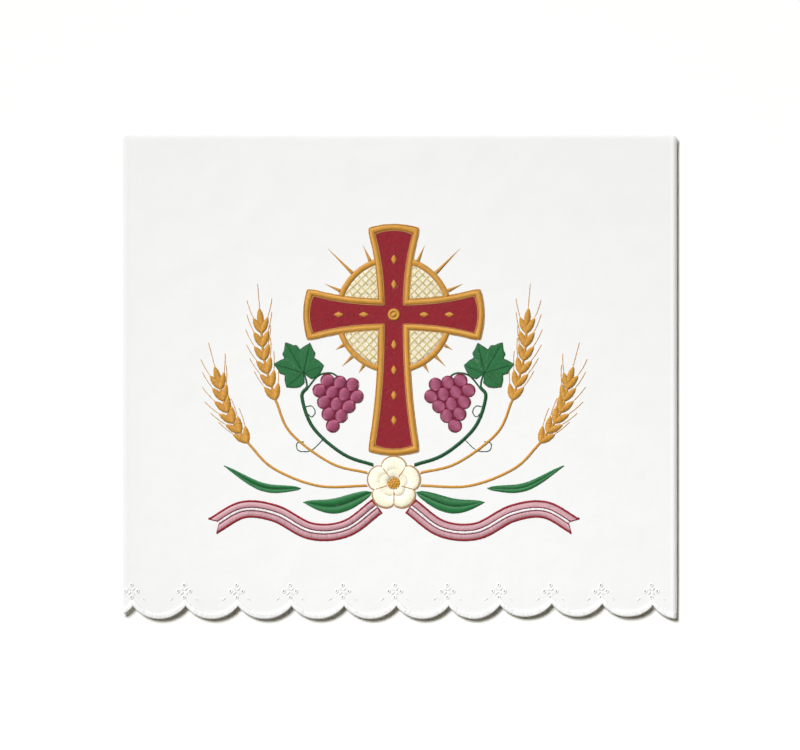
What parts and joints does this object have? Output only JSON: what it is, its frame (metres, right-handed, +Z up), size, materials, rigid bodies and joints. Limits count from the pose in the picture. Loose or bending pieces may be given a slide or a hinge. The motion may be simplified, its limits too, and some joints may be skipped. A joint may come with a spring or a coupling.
{
  "type": "altar cloth",
  "caption": "White linen altar cloth folded in three and laid flat, with a scalloped, stitched front edge and an embroidered emblem of a cross, wheat and vine.",
  "frame": {"origin": "on the surface the cloth lies on, below the middle of its outline", "axes": "+X along the scalloped edge, +Y from the scallops towards the top fold, +Z up out of the embroidered face"},
  "size_m": [0.442, 0.3856, 0.0065],
  "materials": {
    "linen": "starched plain weave, matt",
    "white_thread": "white satin stitch",
    "gold_thread": "gold rayon satin stitch",
    "crimson_thread": "crimson rayon fill stitch",
    "cream_thread": "cream rayon stitch",
    "pink_thread": "dusty pink rayon stitch",
    "mauve_thread": "mauve rayon satin stitch",
    "green_thread": "green rayon satin stitch",
    "dark_green_thread": "dark green rayon satin stitch"
  },
  "bodies": {
    "root": {"cloth": "linen", "cross_border": "gold_thread", "cross_boss": "gold_thread", "cross_field": "crimson_thread", "field_lower_left": "cream_thread", "field_lower_right": "cream_thread", "field_upper_left": "cream_thread", "field_upper_right": "cream_thread", "grapes_left": "mauve_thread", "grapes_right": "mauve_thread", "long_leaf_left": "green_thread", "long_leaf_right": "green_thread", "ribbon_left": "pink_thread", "ribbon_right": "pink_thread", "ring_lower_left": "gold_thread", "ring_lower_right": "gold_thread", "ring_upper_left": "gold_thread", "ring_upper_right": "gold_thread", "rose_centre": "gold_thread", "rose_petals": "cream_thread", "scallop_edging": "white_thread", "vine_leaf_left": "green_thread", "vine_leaf_right": "green_thread", "vine_stem_left": "dark_green_thread", "vine_stem_right": "dark_green_thread", "wheat_blade_left": "green_thread", "wheat_blade_right": "green_thread", "wheat_inner_left": "gold_thread", "wheat_inner_right": "gold_thread", "wheat_outer_left": "gold_thread", "wheat_outer_right": "gold_thread"}
  },
  "joints": []
}
